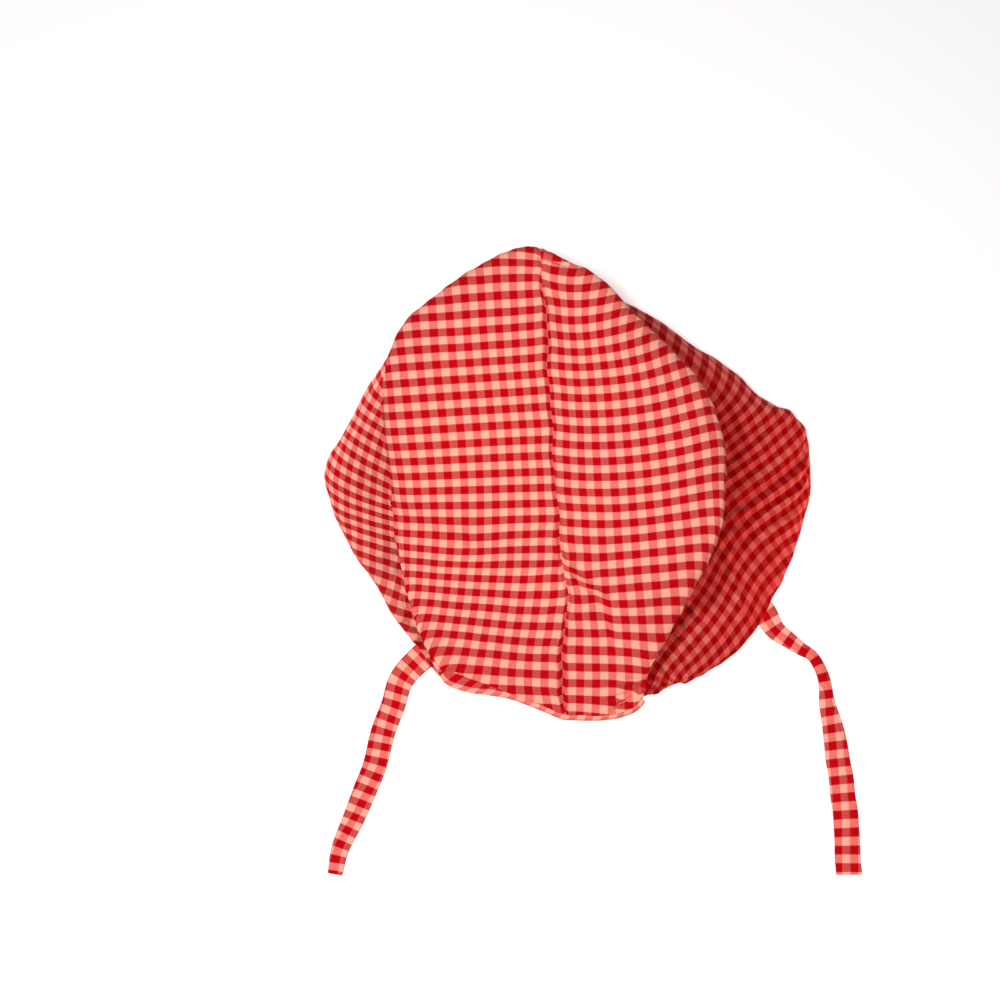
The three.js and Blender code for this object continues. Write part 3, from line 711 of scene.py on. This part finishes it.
def gingham(name, turned=False):
    """Woven cotton with a red and cream check, by where a point lies on the flat cloth.
    turned cloth was cut with its warp and weft the other way."""
    material = bpy.data.materials.new(name)
    material.use_nodes = True
    tree = material.node_tree
    nodes, links = tree.nodes, tree.links
    nodes.clear()

    def put(socket, value):
        if isinstance(value, bpy.types.NodeSocket):
            links.new(value, socket)
        else:
            socket.default_value = value

    def maths(operation, *values, clamp=False):
        node = nodes.new("ShaderNodeMath")
        node.operation = operation
        node.use_clamp = clamp
        for socket, value in zip(node.inputs, values):
            put(socket, value)
        return node.outputs[0]

    def noise(vector, scale, detail=2.0):
        node = nodes.new("ShaderNodeTexNoise")
        put(node.inputs["Vector"], vector)
        node.inputs["Scale"].default_value = scale
        node.inputs["Detail"].default_value = detail
        return node.outputs[0]

    def combined(x, y):
        node = nodes.new("ShaderNodeCombineXYZ")
        put(node.inputs[0], x)
        put(node.inputs[1], y)
        return node.outputs[0]

    place = nodes.new("ShaderNodeUVMap")
    place.uv_map = "cloth"
    split = nodes.new("ShaderNodeSeparateXYZ")
    links.new(place.outputs[0], split.inputs[0])
    across, along = split.outputs[0], split.outputs[1]
    if turned:
        across, along = along, across

    def stripe(at):
        """1 on the red stripes and 0 on the cream ones, a yarn's blur between."""
        share = maths("PINGPONG", maths("DIVIDE", at, check / 2), 1.0)
        sharpness = check / 2 / (1.2 * yarn)
        return maths("MULTIPLY_ADD", maths("SUBTRACT", share, 0.5), sharpness, 0.5, clamp=True)

    red_across, red_along = stripe(across), stripe(along)
    yarns_across = maths("MULTIPLY", across, math.pi / yarn)
    yarns_along = maths("MULTIPLY", along, math.pi / yarn)
    wave_across = maths("SINE", yarns_across)
    wave_along = maths("SINE", yarns_along)
    over = maths("MULTIPLY", wave_across, wave_along)

    # Redness of a spot: half from each yarn, and more from the one on top. The weft is the
    # thicker yarn, so its red squares are darker than the warp's.
    weft_more = maths("SUBTRACT", red_along, red_across)
    both = maths("MULTIPLY", maths("ADD", red_across, red_along), 0.5)
    lean = maths("MULTIPLY", maths("SUBTRACT", red_across, red_along), over)
    speckle = maths("MULTIPLY_ADD", lean, 0.28, maths("MULTIPLY_ADD", weft_more, 0.1, both))
    fleck = maths("SUBTRACT", noise(combined(across, along), 900.0), 0.5)
    redness = maths("MULTIPLY_ADD", fleck, 0.12, speckle, clamp=True)
    ramp = nodes.new("ShaderNodeValToRGB")
    put(ramp.inputs[0], redness)
    ramp.color_ramp.elements[0].color = cream
    ramp.color_ramp.elements[1].color = red
    ramp.color_ramp.elements.new(0.5).color = coral

    # Yarns differ a little along their length, and the cloth is a little uneven
    streak_across = noise(combined(maths("MULTIPLY", across, 30.0), along), 90.0)
    streak_along = noise(combined(across, maths("MULTIPLY", along, 30.0)), 90.0)
    patchy = noise(combined(across, along), 22.0)
    streaks = maths("ADD", streak_across, streak_along)
    uneven = maths("MULTIPLY_ADD", streaks, 0.16, maths("MULTIPLY", patchy, 0.14))
    tone = maths("MULTIPLY_ADD", weft_more, -0.07, maths("ADD", uneven, 0.77))
    shade = nodes.new("ShaderNodeHueSaturation")
    put(shade.inputs["Value"], tone)
    put(shade.inputs["Color"], ramp.outputs[0])

    lift = maths("ADD", maths("ABSOLUTE", wave_across), maths("ABSOLUTE", wave_along))
    weave = nodes.new("ShaderNodeBump")
    weave.inputs["Strength"].default_value = 0.35
    weave.inputs["Distance"].default_value = 0.00006
    put(weave.inputs["Height"], maths("MULTIPLY_ADD", over, 0.5, lift))
    crinkle = nodes.new("ShaderNodeBump")
    crinkle.inputs["Strength"].default_value = 0.5
    crinkle.inputs["Distance"].default_value = 0.0006
    put(crinkle.inputs["Height"], noise(combined(across, along), 110.0, 3.0))
    links.new(weave.outputs[0], crinkle.inputs["Normal"])

    shader = nodes.new("ShaderNodeBsdfPrincipled")
    links.new(shade.outputs[0], shader.inputs["Base Color"])
    put(shader.inputs["Roughness"], maths("MULTIPLY_ADD", streaks, 0.1, 0.8))
    links.new(crinkle.outputs[0], shader.inputs["Normal"])
    shader.inputs["Specular IOR Level"].default_value = 0.08
    shader.inputs["Sheen Weight"].default_value = 0.03
    shader.inputs["Sheen Roughness"].default_value = 0.5
    shader.inputs["Sheen Tint"].default_value = (1.0, 0.8, 0.75, 1.0)
    output = nodes.new("ShaderNodeOutputMaterial")
    links.new(shader.outputs[0], output.inputs[0])
    return material


red = (0.5, 0.0, 0.008, 1.0)
coral = (0.64, 0.112, 0.1, 1.0)
cream = (0.92, 0.42, 0.33, 1.0)
crown_cloth = gingham("crown_cloth")
brim_cloth = gingham("brim_cloth", turned=True)
hem_cloth = gingham("hem_cloth")
tie_cloth = gingham("tie_cloth")


# Crown

top_seam = seam_points(np.linspace(seam_start, seam_end, 220))[:-1]
front_seam = crown_surface(np.array([forehead]), np.linspace(0, 1, 60))[0]
centre_seam = np.concatenate([top_seam, front_seam])
seam_length = length_along(centre_seam)
seam_front = seam_length[len(top_seam)]
seam_way = np.gradient(centre_seam, seam_length, axis=0)
seam_out = np.stack([0 * seam_way[:, 0], -seam_way[:, 2], seam_way[:, 1]], -1)


def out_of_panel(grid, away, along):
    """The direction out of a panel, and beside the seam the one straight out of the seam,
    so that both panels are moved the same way there and still meet."""
    straight = np.stack([np.interp(along, seam_length, part) for part in seam_out.T], -1)
    out = straight + (normals(grid) - straight) * soft_step(0.001, 0.006, away)[..., None]
    return out / np.linalg.norm(out, axis=-1, keepdims=True)


def beside_seam(grid):
    """How far each point lies from the centre seam, and where along the seam that is."""
    start = centre_seam[:-1]
    run = np.diff(centre_seam, axis=0)
    square = (run**2).sum(-1)
    away = np.empty(grid.shape[:2])
    along = np.empty(grid.shape[:2])
    for k, row in enumerate(grid):
        offset = row[:, None] - start
        t = np.clip((offset * run).sum(-1) / square, 0, 1)
        far = np.linalg.norm(offset - t[..., None] * run, axis=-1)
        nearest = far.argmin(1)
        pick = np.arange(len(row))
        away[k] = far[pick, nearest]
        along[k] = seam_length[nearest] + t[pick, nearest] * np.sqrt(square[nearest])
    return away, along


def distance_to(grid, across, share):
    """How far each point lies from the line at that share, along its own row."""
    length = length_along(grid, axis=1)
    at_share = np.array([np.interp(share, across, row) for row in length])
    return at_share[:, None] - length


def crown_flat(place, across, grain_rows, neck, top):
    """The crown's panel laid flat from an even, coarser grid. neck and top are the rows of
    that grid where the centre seam begins and ends."""
    coarse_place = np.linspace(place[0], place[-1], 73)
    coarse_across = np.linspace(0, 1, 25)
    coarse = crown_surface(coarse_place, coarse_across)
    flat = flatten(coarse, coarse[..., :2])
    flat = turned_flat(flat, flat[neck, 0], flat[top, 0])
    flat = resampled(flat, coarse_place, coarse_across, place, across)
    shifted = flat + grain(grain_rows, grain_shares, place, across)
    return shifted, box_of(flat), flat_area(flat)


def tucked(flat, x, y):
    """Hides cloth in the creases and in the dimple on the left."""
    for k, tuck in enumerate(crease_rows["tuck"]):
        side, past = crease_reach(x, y, k)
        width = mm * crease_rows["sharp"][k]
        fade = hump(past, 0, 6 * mm) * np.exp(-np.abs(side) / (16 * mm))
        flat[..., 1] += 0.5 * mm * tuck * np.tanh(side / width) * fade
    dimple_x, dimple_y = -0.054, -0.042
    flat[..., 1] += 2.6 * mm * hump(x, dimple_x, 20 * mm) * hump(y, dimple_y, 12 * mm)
    return flat


def crease_lines(x, y):
    """The sharp line of each crease, with a low swell beside it."""
    height = 0
    for k, line in enumerate(crease_rows["line"]):
        side, past = crease_reach(x, y, k)
        width = mm * crease_rows["sharp"][k]
        swell = 0.4 * hump(side, 2.4 * width, math.sqrt(2) * width)
        height = height + mm * line * (swell - hump(side, 0, width)) * hump(past, 0, 5 * mm)
    return height


def crown_panel(name, sideways, grain_rows, seam_lines):
    """One half of the crown. sideways is -1 for the left and 1 for the right."""
    around = steps(0, (0.4, 190), (0.5, 56))
    place = around if sideways < 0 else 1 - around[::-1]
    across = steps(0, (0.06, 14), (0.82, 76), (1, 24))
    grid = crown_surface(place, across)
    x, y = grid[..., 0], grid[..., 1]
    neck, top = (0, -1) if sideways < 0 else (-1, 0)
    flat, size, area = crown_flat(place, across, grain_rows, neck, top)
    flat = tucked(flat, x, y)

    # The centre seam, which is flatter where it turns down over the forehead
    away, along = beside_seam(grid)
    out = out_of_panel(grid, away, along)
    height = ripples(grid, crown_ripples) * soft_step(0, 12 * mm, away)
    height += crease_lines(x, y)
    turned_down = soft_step(seam_front - 10 * mm, seam_front + 10 * mm, along)
    height += lines_at(away, seam_lines) * (1 - 0.7 * turned_down)
    puckered = np.exp(-away / (6 * mm)) * soft_step(0.5 * mm, 3 * mm, away)
    height += pucker_height * uneven_wave(along, **puckers) * puckered

    # The rolled edge, which is piped most at the left and smooth at the left neck corner
    around = place[:, None]
    calm = soft_step(0.01, 0.06, around)
    roll = calm * soft_step(edge_share - 0.1, edge_share + 0.02, across)
    height += edge_pucker_height * roll * uneven_wave(around * crown_edge_length, **edge_puckers)
    piped = calm * (1 - 0.65 * soft_step(0.16, 0.26, around))
    height += piped * lines_at(distance_to(grid, across, edge_share), crown_edge_lines)
    height *= 1 - soft_step(0.97, 1, across)
    grid = grid + out * height[..., None]

    # The seam isn't quite straight
    wander = 0.6 * np.sin(along / (9.3 * mm)) + 0.4 * np.sin(along / (4.1 * mm) + 1)
    grid[..., 0] += mm * wander * np.exp(-away / (12 * mm))
    out = out_of_panel(grid, away, along)
    piece = cloth_piece(name, grid, crown_cloth_wall, flat, crown_cloth, out=out)
    return piece, size, area


left_crown, left_size, left_area = crown_panel(
    "crown_left_cloth", -1, left_grain_rows, left_seam_lines,
)
right_crown, right_size, right_area = crown_panel(
    "crown_right_cloth", 1, right_grain_rows, right_seam_lines,
)


# Brim

def brim_lines(run, depth, place, down):
    """The ridges and grooves of the brim's table, by where a point lies around and down it."""
    height = 0
    for start, high, end, low, rise, width in zip(*brim_line_rows.values()):
        t = np.clip((down - high) / (low - high), 0, 1)
        aside = (place[:, None] - start - t * (end - start)) * run.max()
        past = (np.maximum(high - down, 0) + np.maximum(down - low, 0)) * depth[:, -1:]
        height = height + mm * rise * hump(aside, 0, mm * width) * hump(past, 0, 4 * mm)
    return height


def brim_flat(place, down):
    """The brim laid flat from an even, coarser grid, which starts as a part of a ring."""
    coarse_place = np.linspace(0, 1, 193)
    coarse_down = np.linspace(0, 1, 10)
    coarse = brim_surface(coarse_place, coarse_down)
    run = length_along(coarse[:, 0])
    ring = math.radians(100)
    angle = ((run / run[-1] - 0.5) * ring)[:, None]
    far = run[-1] / ring + length_along(coarse, axis=1)
    guess = np.stack([far * np.sin(angle), far * np.cos(angle)], -1)
    flat = flatten(coarse, guess, rounds=160)
    middle = len(run) // 2
    flat = turned_flat(flat, flat[middle, 0], flat[middle, -1])
    flat = resampled(flat, coarse_place, coarse_down, place, down)
    shifted = flat + grain(brim_grain_rows, brim_grain_shares, place, down)
    return shifted, box_of(flat), flat_area(flat)


def brim_piece(name):
    place = np.linspace(0, 1, 620)
    down = steps(0, (0.12, 12), (0.86, 40), (1, 14))
    grid = brim_surface(place, down)
    flat, size, area = brim_flat(place, down)

    # Gathers and stitches under the seam
    run = length_along(grid[:, 0])[:, None]
    depth = length_along(grid, axis=1)
    around = place[:, None]
    height = ripples(grid, brim_ripples)
    gathered = gather_height + more_gather_height * soft_step(0.86, 0.93, around)
    gathered = gathered * np.exp(-depth / (12 * mm)) * soft_step(0, 3 * mm, depth)
    height += gathered * uneven_wave(run, **gathers)
    height += lines_at(depth, brim_seam_lines)

    # Ridges and grooves, and the bunched cloth of the right side
    height += brim_lines(run, depth, place, down)
    slanted = around + bunch_slant * down
    bunched = soft_step(0.755, 0.785, slanted) * (1 - soft_step(0.85, 0.875, slanted))
    bunched = bunched * soft_step(0, 0.2, down) * (1 - soft_step(0.75, 0.95, down))
    height += bunch_height * bunched * uneven_wave(slanted, **bunches)

    # The hem, turned up and lying on the floor. The left neck corner is smooth.
    to_hem = depth[:, -1:] - depth
    height += lines_at(to_hem, right_hem_lines) * soft_step(0.6, 0.7, around)
    height += 0.5 * mm * hump(to_hem, 0, 2.5 * mm) * ripple(grid, 12 * mm)
    height += lines_at(to_hem, hem_lines)
    height *= soft_step(0.01, 0.07, around)
    grid = grid + normals(grid) * height[..., None]
    hemmed = 1 - soft_step(hem_depth, hem_depth + 0.8 * mm, to_hem)
    wall = brim_cloth_wall + (hem_wall - brim_cloth_wall) * hemmed
    grid[..., 2] += 0.5 * wall * (1 - soft_step(0, 4 * mm, to_hem))
    piece = cloth_piece(name, grid, wall, flat, brim_cloth)
    return piece, size, area


brim, brim_size, brim_area = brim_piece("brim_cloth")


# Neck facing

def neck_edge(share):
    """The crown's neck edge, from the left corner over the seam to the right one."""
    left = crown_surface(np.array([0.0]), edge_share * (1 - 2 * share[share < 0.5]))[0]
    right = crown_surface(np.array([1.0]), edge_share * (2 * share[share >= 0.5] - 1))[0]
    return np.concatenate([left, right])


def neck_facing(name):
    """The facing, from its edge that shows to its tucked one, through four lines of points."""
    share = np.linspace(0.05, 0.95, 216)
    edge = neck_edge(share)
    step = 0.04
    run = neck_edge(share + step) - neck_edge(share - step)
    run[:, 2] = 0
    run /= np.linalg.norm(run, axis=1, keepdims=True)
    out = np.stack([run[:, 1], -run[:, 0], 0 * run[:, 0]], -1)
    show = out * neck_hem_show * between(neck_hem_rows, "place", share, "show")[:, None]
    lines = [edge + show, edge + show * neck_hem_lip_share, edge, edge - out * neck_hem_tuck]
    lines = np.stack(lines, 1)
    lines[:, 0, 2] = neck_hem_wall
    lines[:, 1:, 2] = (edge[:, 2] - crown_wall - seam_gap)[:, None]
    across = np.linspace(0, 3, 26)
    k = np.minimum(across.astype(int), 2)
    t = (across - k)[None, :, None]
    grid = lines[:, k] * (1 - t) + lines[:, k + 1] * t
    smooth(grid.swapaxes(0, 1), 3)
    depth = length_along(grid, axis=1)
    lip = 6
    length = length_along(grid[:, lip])[:, None]
    slant, first_stripe = 0.8, -1.2 * mm
    flat = np.stack([length - slant * depth, depth + first_stripe], -1)
    piece = cloth_piece(name, grid[:, ::-1], neck_hem_wall, flat[:, ::-1], hem_cloth)
    return piece, (neck_hem_tuck + neck_hem_show, float(length.max()))


neck, neck_size = neck_facing("neck_hem_cloth")


# Ties

def smooth_path(points, t):
    """A smooth curve through points, at shares t of its way, and its direction."""
    ends = np.concatenate([[2 * points[0] - points[1]], points, [2 * points[-1] - points[-2]]])
    at = np.clip(t * (len(points) - 1), 0, len(points) - 1 - 1e-9)
    k = at.astype(int)
    w = (at - k)[:, None]
    a, b, c, d = (ends[k + n] for n in range(4))
    gaps = [np.sqrt(np.linalg.norm(q - p, axis=1, keepdims=True)) for p, q in ((a, b), (b, c), (c, d))]
    first = ((b - a) / gaps[0] - (c - a) / (gaps[0] + gaps[1]) + (c - b) / gaps[1]) * gaps[1]
    second = ((c - b) / gaps[1] - (d - b) / (gaps[1] + gaps[2]) + (d - c) / gaps[2]) * gaps[1]
    spot = (
        b * (1 + 2 * w) * (1 - w) ** 2
        + c * w * w * (3 - 2 * w)
        + first * w * (1 - w) ** 2
        - second * w * w * (1 - w)
    )
    way = np.gradient(spot, axis=0)
    return spot, way / np.linalg.norm(way, axis=1, keepdims=True)


def tie_piece(name, rows, place, root_turn, reach, pull):
    """A flat tie on the floor. pull is how many checks lie on the length of one."""
    hem = brim_surface(np.array([place]), np.array([1.0]))[0, 0]
    points = np.stack([
        hem[0] + rows["side"] * reach,
        hem[1] - rows["down"] * reach,
        0 * rows["side"],
    ], -1)
    inward = points[0] - points[1]
    inward = turned_about_up(inward / np.linalg.norm(inward), root_turn)
    points = np.concatenate([[points[0] + inward * tie_root_depth], points])
    widths = np.concatenate([rows["width"][:1], rows["width"]]) * tie_width
    walls = np.concatenate([rows["wall"][:1], rows["wall"]]) * tie_wall
    t = np.linspace(0, 1, 260)
    at = t * (len(points) - 1)
    middle, way = smooth_path(points, t)
    width = np.interp(at, np.arange(len(points)), widths)
    wall = np.interp(at, np.arange(len(points)), walls)
    red_share, fold, line = (
        np.interp(at, np.arange(1, len(points)), rows[column]) for column in ("red", "fold", "line")
    )
    for values in (width, wall, red_share, fold, line):
        smooth(values, 12)
    length = length_along(middle)
    side = np.stack([way[:, 1], -way[:, 0], 0 * way[:, 0]], -1)
    width, wall, red_share, fold, line = (
        values[:, None] for values in (width, wall, red_share, fold, line)
    )
    share = np.linspace(-0.5, 0.5, 34)
    wobble = 0.4 * mm * ripple(np.stack([length, 0 * length, 0 * length], -1), 21 * mm)
    across = share * (width - wall) + wobble[:, None]
    grid = middle[:, None] + side[:, None] * across[..., None]
    thinner_edge = 0.25 * (2 * share) ** 4
    height = wall * (1 - thinner_edge) + 0.25 * mm * ripple(grid, 20 * mm)
    height -= mm * line * hump((share - fold) * width, 0, 0.9 * mm)
    grid[..., 2] = np.maximum(height + 0.2 * mm, 0.3 * mm)
    from_red = across - red_share * width
    flat = np.stack([from_red + check / 2, length[:, None] * pull + 0 * across], -1)
    piece = cloth_piece(name, grid, wall * 0.9, flat, tie_cloth)
    return piece, (tie_width, float(length[-1]))


left_tie, left_tie_size = tie_piece(
    "tie_left_cloth", left_tie_rows, left_tie_place, left_tie_root_turn, left_tie_reach, 1.08,
)
right_tie, right_tie_size = tie_piece(
    "tie_right_cloth", right_tie_rows, right_tie_place, right_tie_root_turn, right_tie_reach, 0.93,
)


# What each piece is, and what it stands for

dressed = [
    (left_crown, "crown_left", "crown_cloth"),
    (right_crown, "crown_right", "crown_cloth"),
    (brim, "brim", "brim_cloth"),
    (neck, "neck_hem", "hem_cloth"),
    (left_tie, "tie_left", "tie_cloth"),
    (right_tie, "tie_right", "tie_cloth"),
]
for piece, node, slot in dressed:
    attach(piece, "root")
    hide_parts(node)


# Floor, light and camera

def plain(name, colour, roughness):
    material = bpy.data.materials.new(name)
    material.use_nodes = True
    shader = material.node_tree.nodes["Principled BSDF"]
    shader.inputs["Base Color"].default_value = colour
    shader.inputs["Roughness"].default_value = roughness
    shader.inputs["Specular IOR Level"].default_value = 0.1
    return material


floor_mesh = bpy.data.meshes.new("floor")
floor_reach = 6.0
corners = [(-1, -1), (1, -1), (1, 1), (-1, 1)]
floor_mesh.from_pydata([(x * floor_reach, y * floor_reach, 0) for x, y in corners], [], [(0, 1, 2, 3)])
floor_mesh.materials.append(plain("pale_floor", (0.95, 0.95, 0.95, 1.0), 0.8))
floor = bpy.data.objects.new("floor", floor_mesh)
bpy.context.scene.collection.objects.link(floor)

scene = bpy.context.scene
scene.view_settings.view_transform = "Standard"
scene.view_settings.gamma = 0.85
world = bpy.data.worlds.new("soft_room")
world.use_nodes = True
world.node_tree.nodes["Background"].inputs["Color"].default_value = (1.0, 0.99, 0.98, 1.0)
world.node_tree.nodes["Background"].inputs["Strength"].default_value = 0.15
scene.world = world

view_elevation = math.radians(78)
view_distance = 1.2
target = Vector((shift[0] - 0.032, shift[1] - 0.002, 0))
back = Vector((0, -math.cos(view_elevation), math.sin(view_elevation)))
camera_data = bpy.data.cameras.new("camera")
camera_data.lens = 67
camera_data.sensor_width = 36
camera = bpy.data.objects.new("camera", camera_data)
camera.location = target + back * view_distance
camera.rotation_euler = (-back).to_track_quat("-Z", "Y").to_euler()
scene.collection.objects.link(camera)
scene.camera = camera


def soft_light(name, place, size, power, colour, lit):
    """A round light that lights the named pieces only, though all of them shade it."""
    data = bpy.data.lights.new(name, "AREA")
    data.shape = "DISK"
    data.size = size
    data.energy = power
    data.color = colour
    light = bpy.data.objects.new(name, data)
    light.location = Vector(place)
    light.rotation_euler = (Vector(target) - Vector(place)).to_track_quat("-Z", "Y").to_euler()
    scene.collection.objects.link(light)
    light.light_linking.receiver_collection = bpy.data.collections.new(f"lit_by_{name}")
    for piece in lit:
        light.light_linking.receiver_collection.objects.link(piece)


raised = [left_crown, right_crown, neck, left_tie, right_tie, floor]
soft_light("top", (-0.2, -0.25, 1.75), 0.5, 35, (1.0, 0.98, 0.98), raised)
soft_light("key", (-1.3, 0.5, 1.15), 0.5, 29, (1.0, 0.96, 0.96), [brim])
soft_light("bounce", (1.2, -0.5, 0.7), 0.3, 12, (1.0, 0.04, 0.04), [brim])
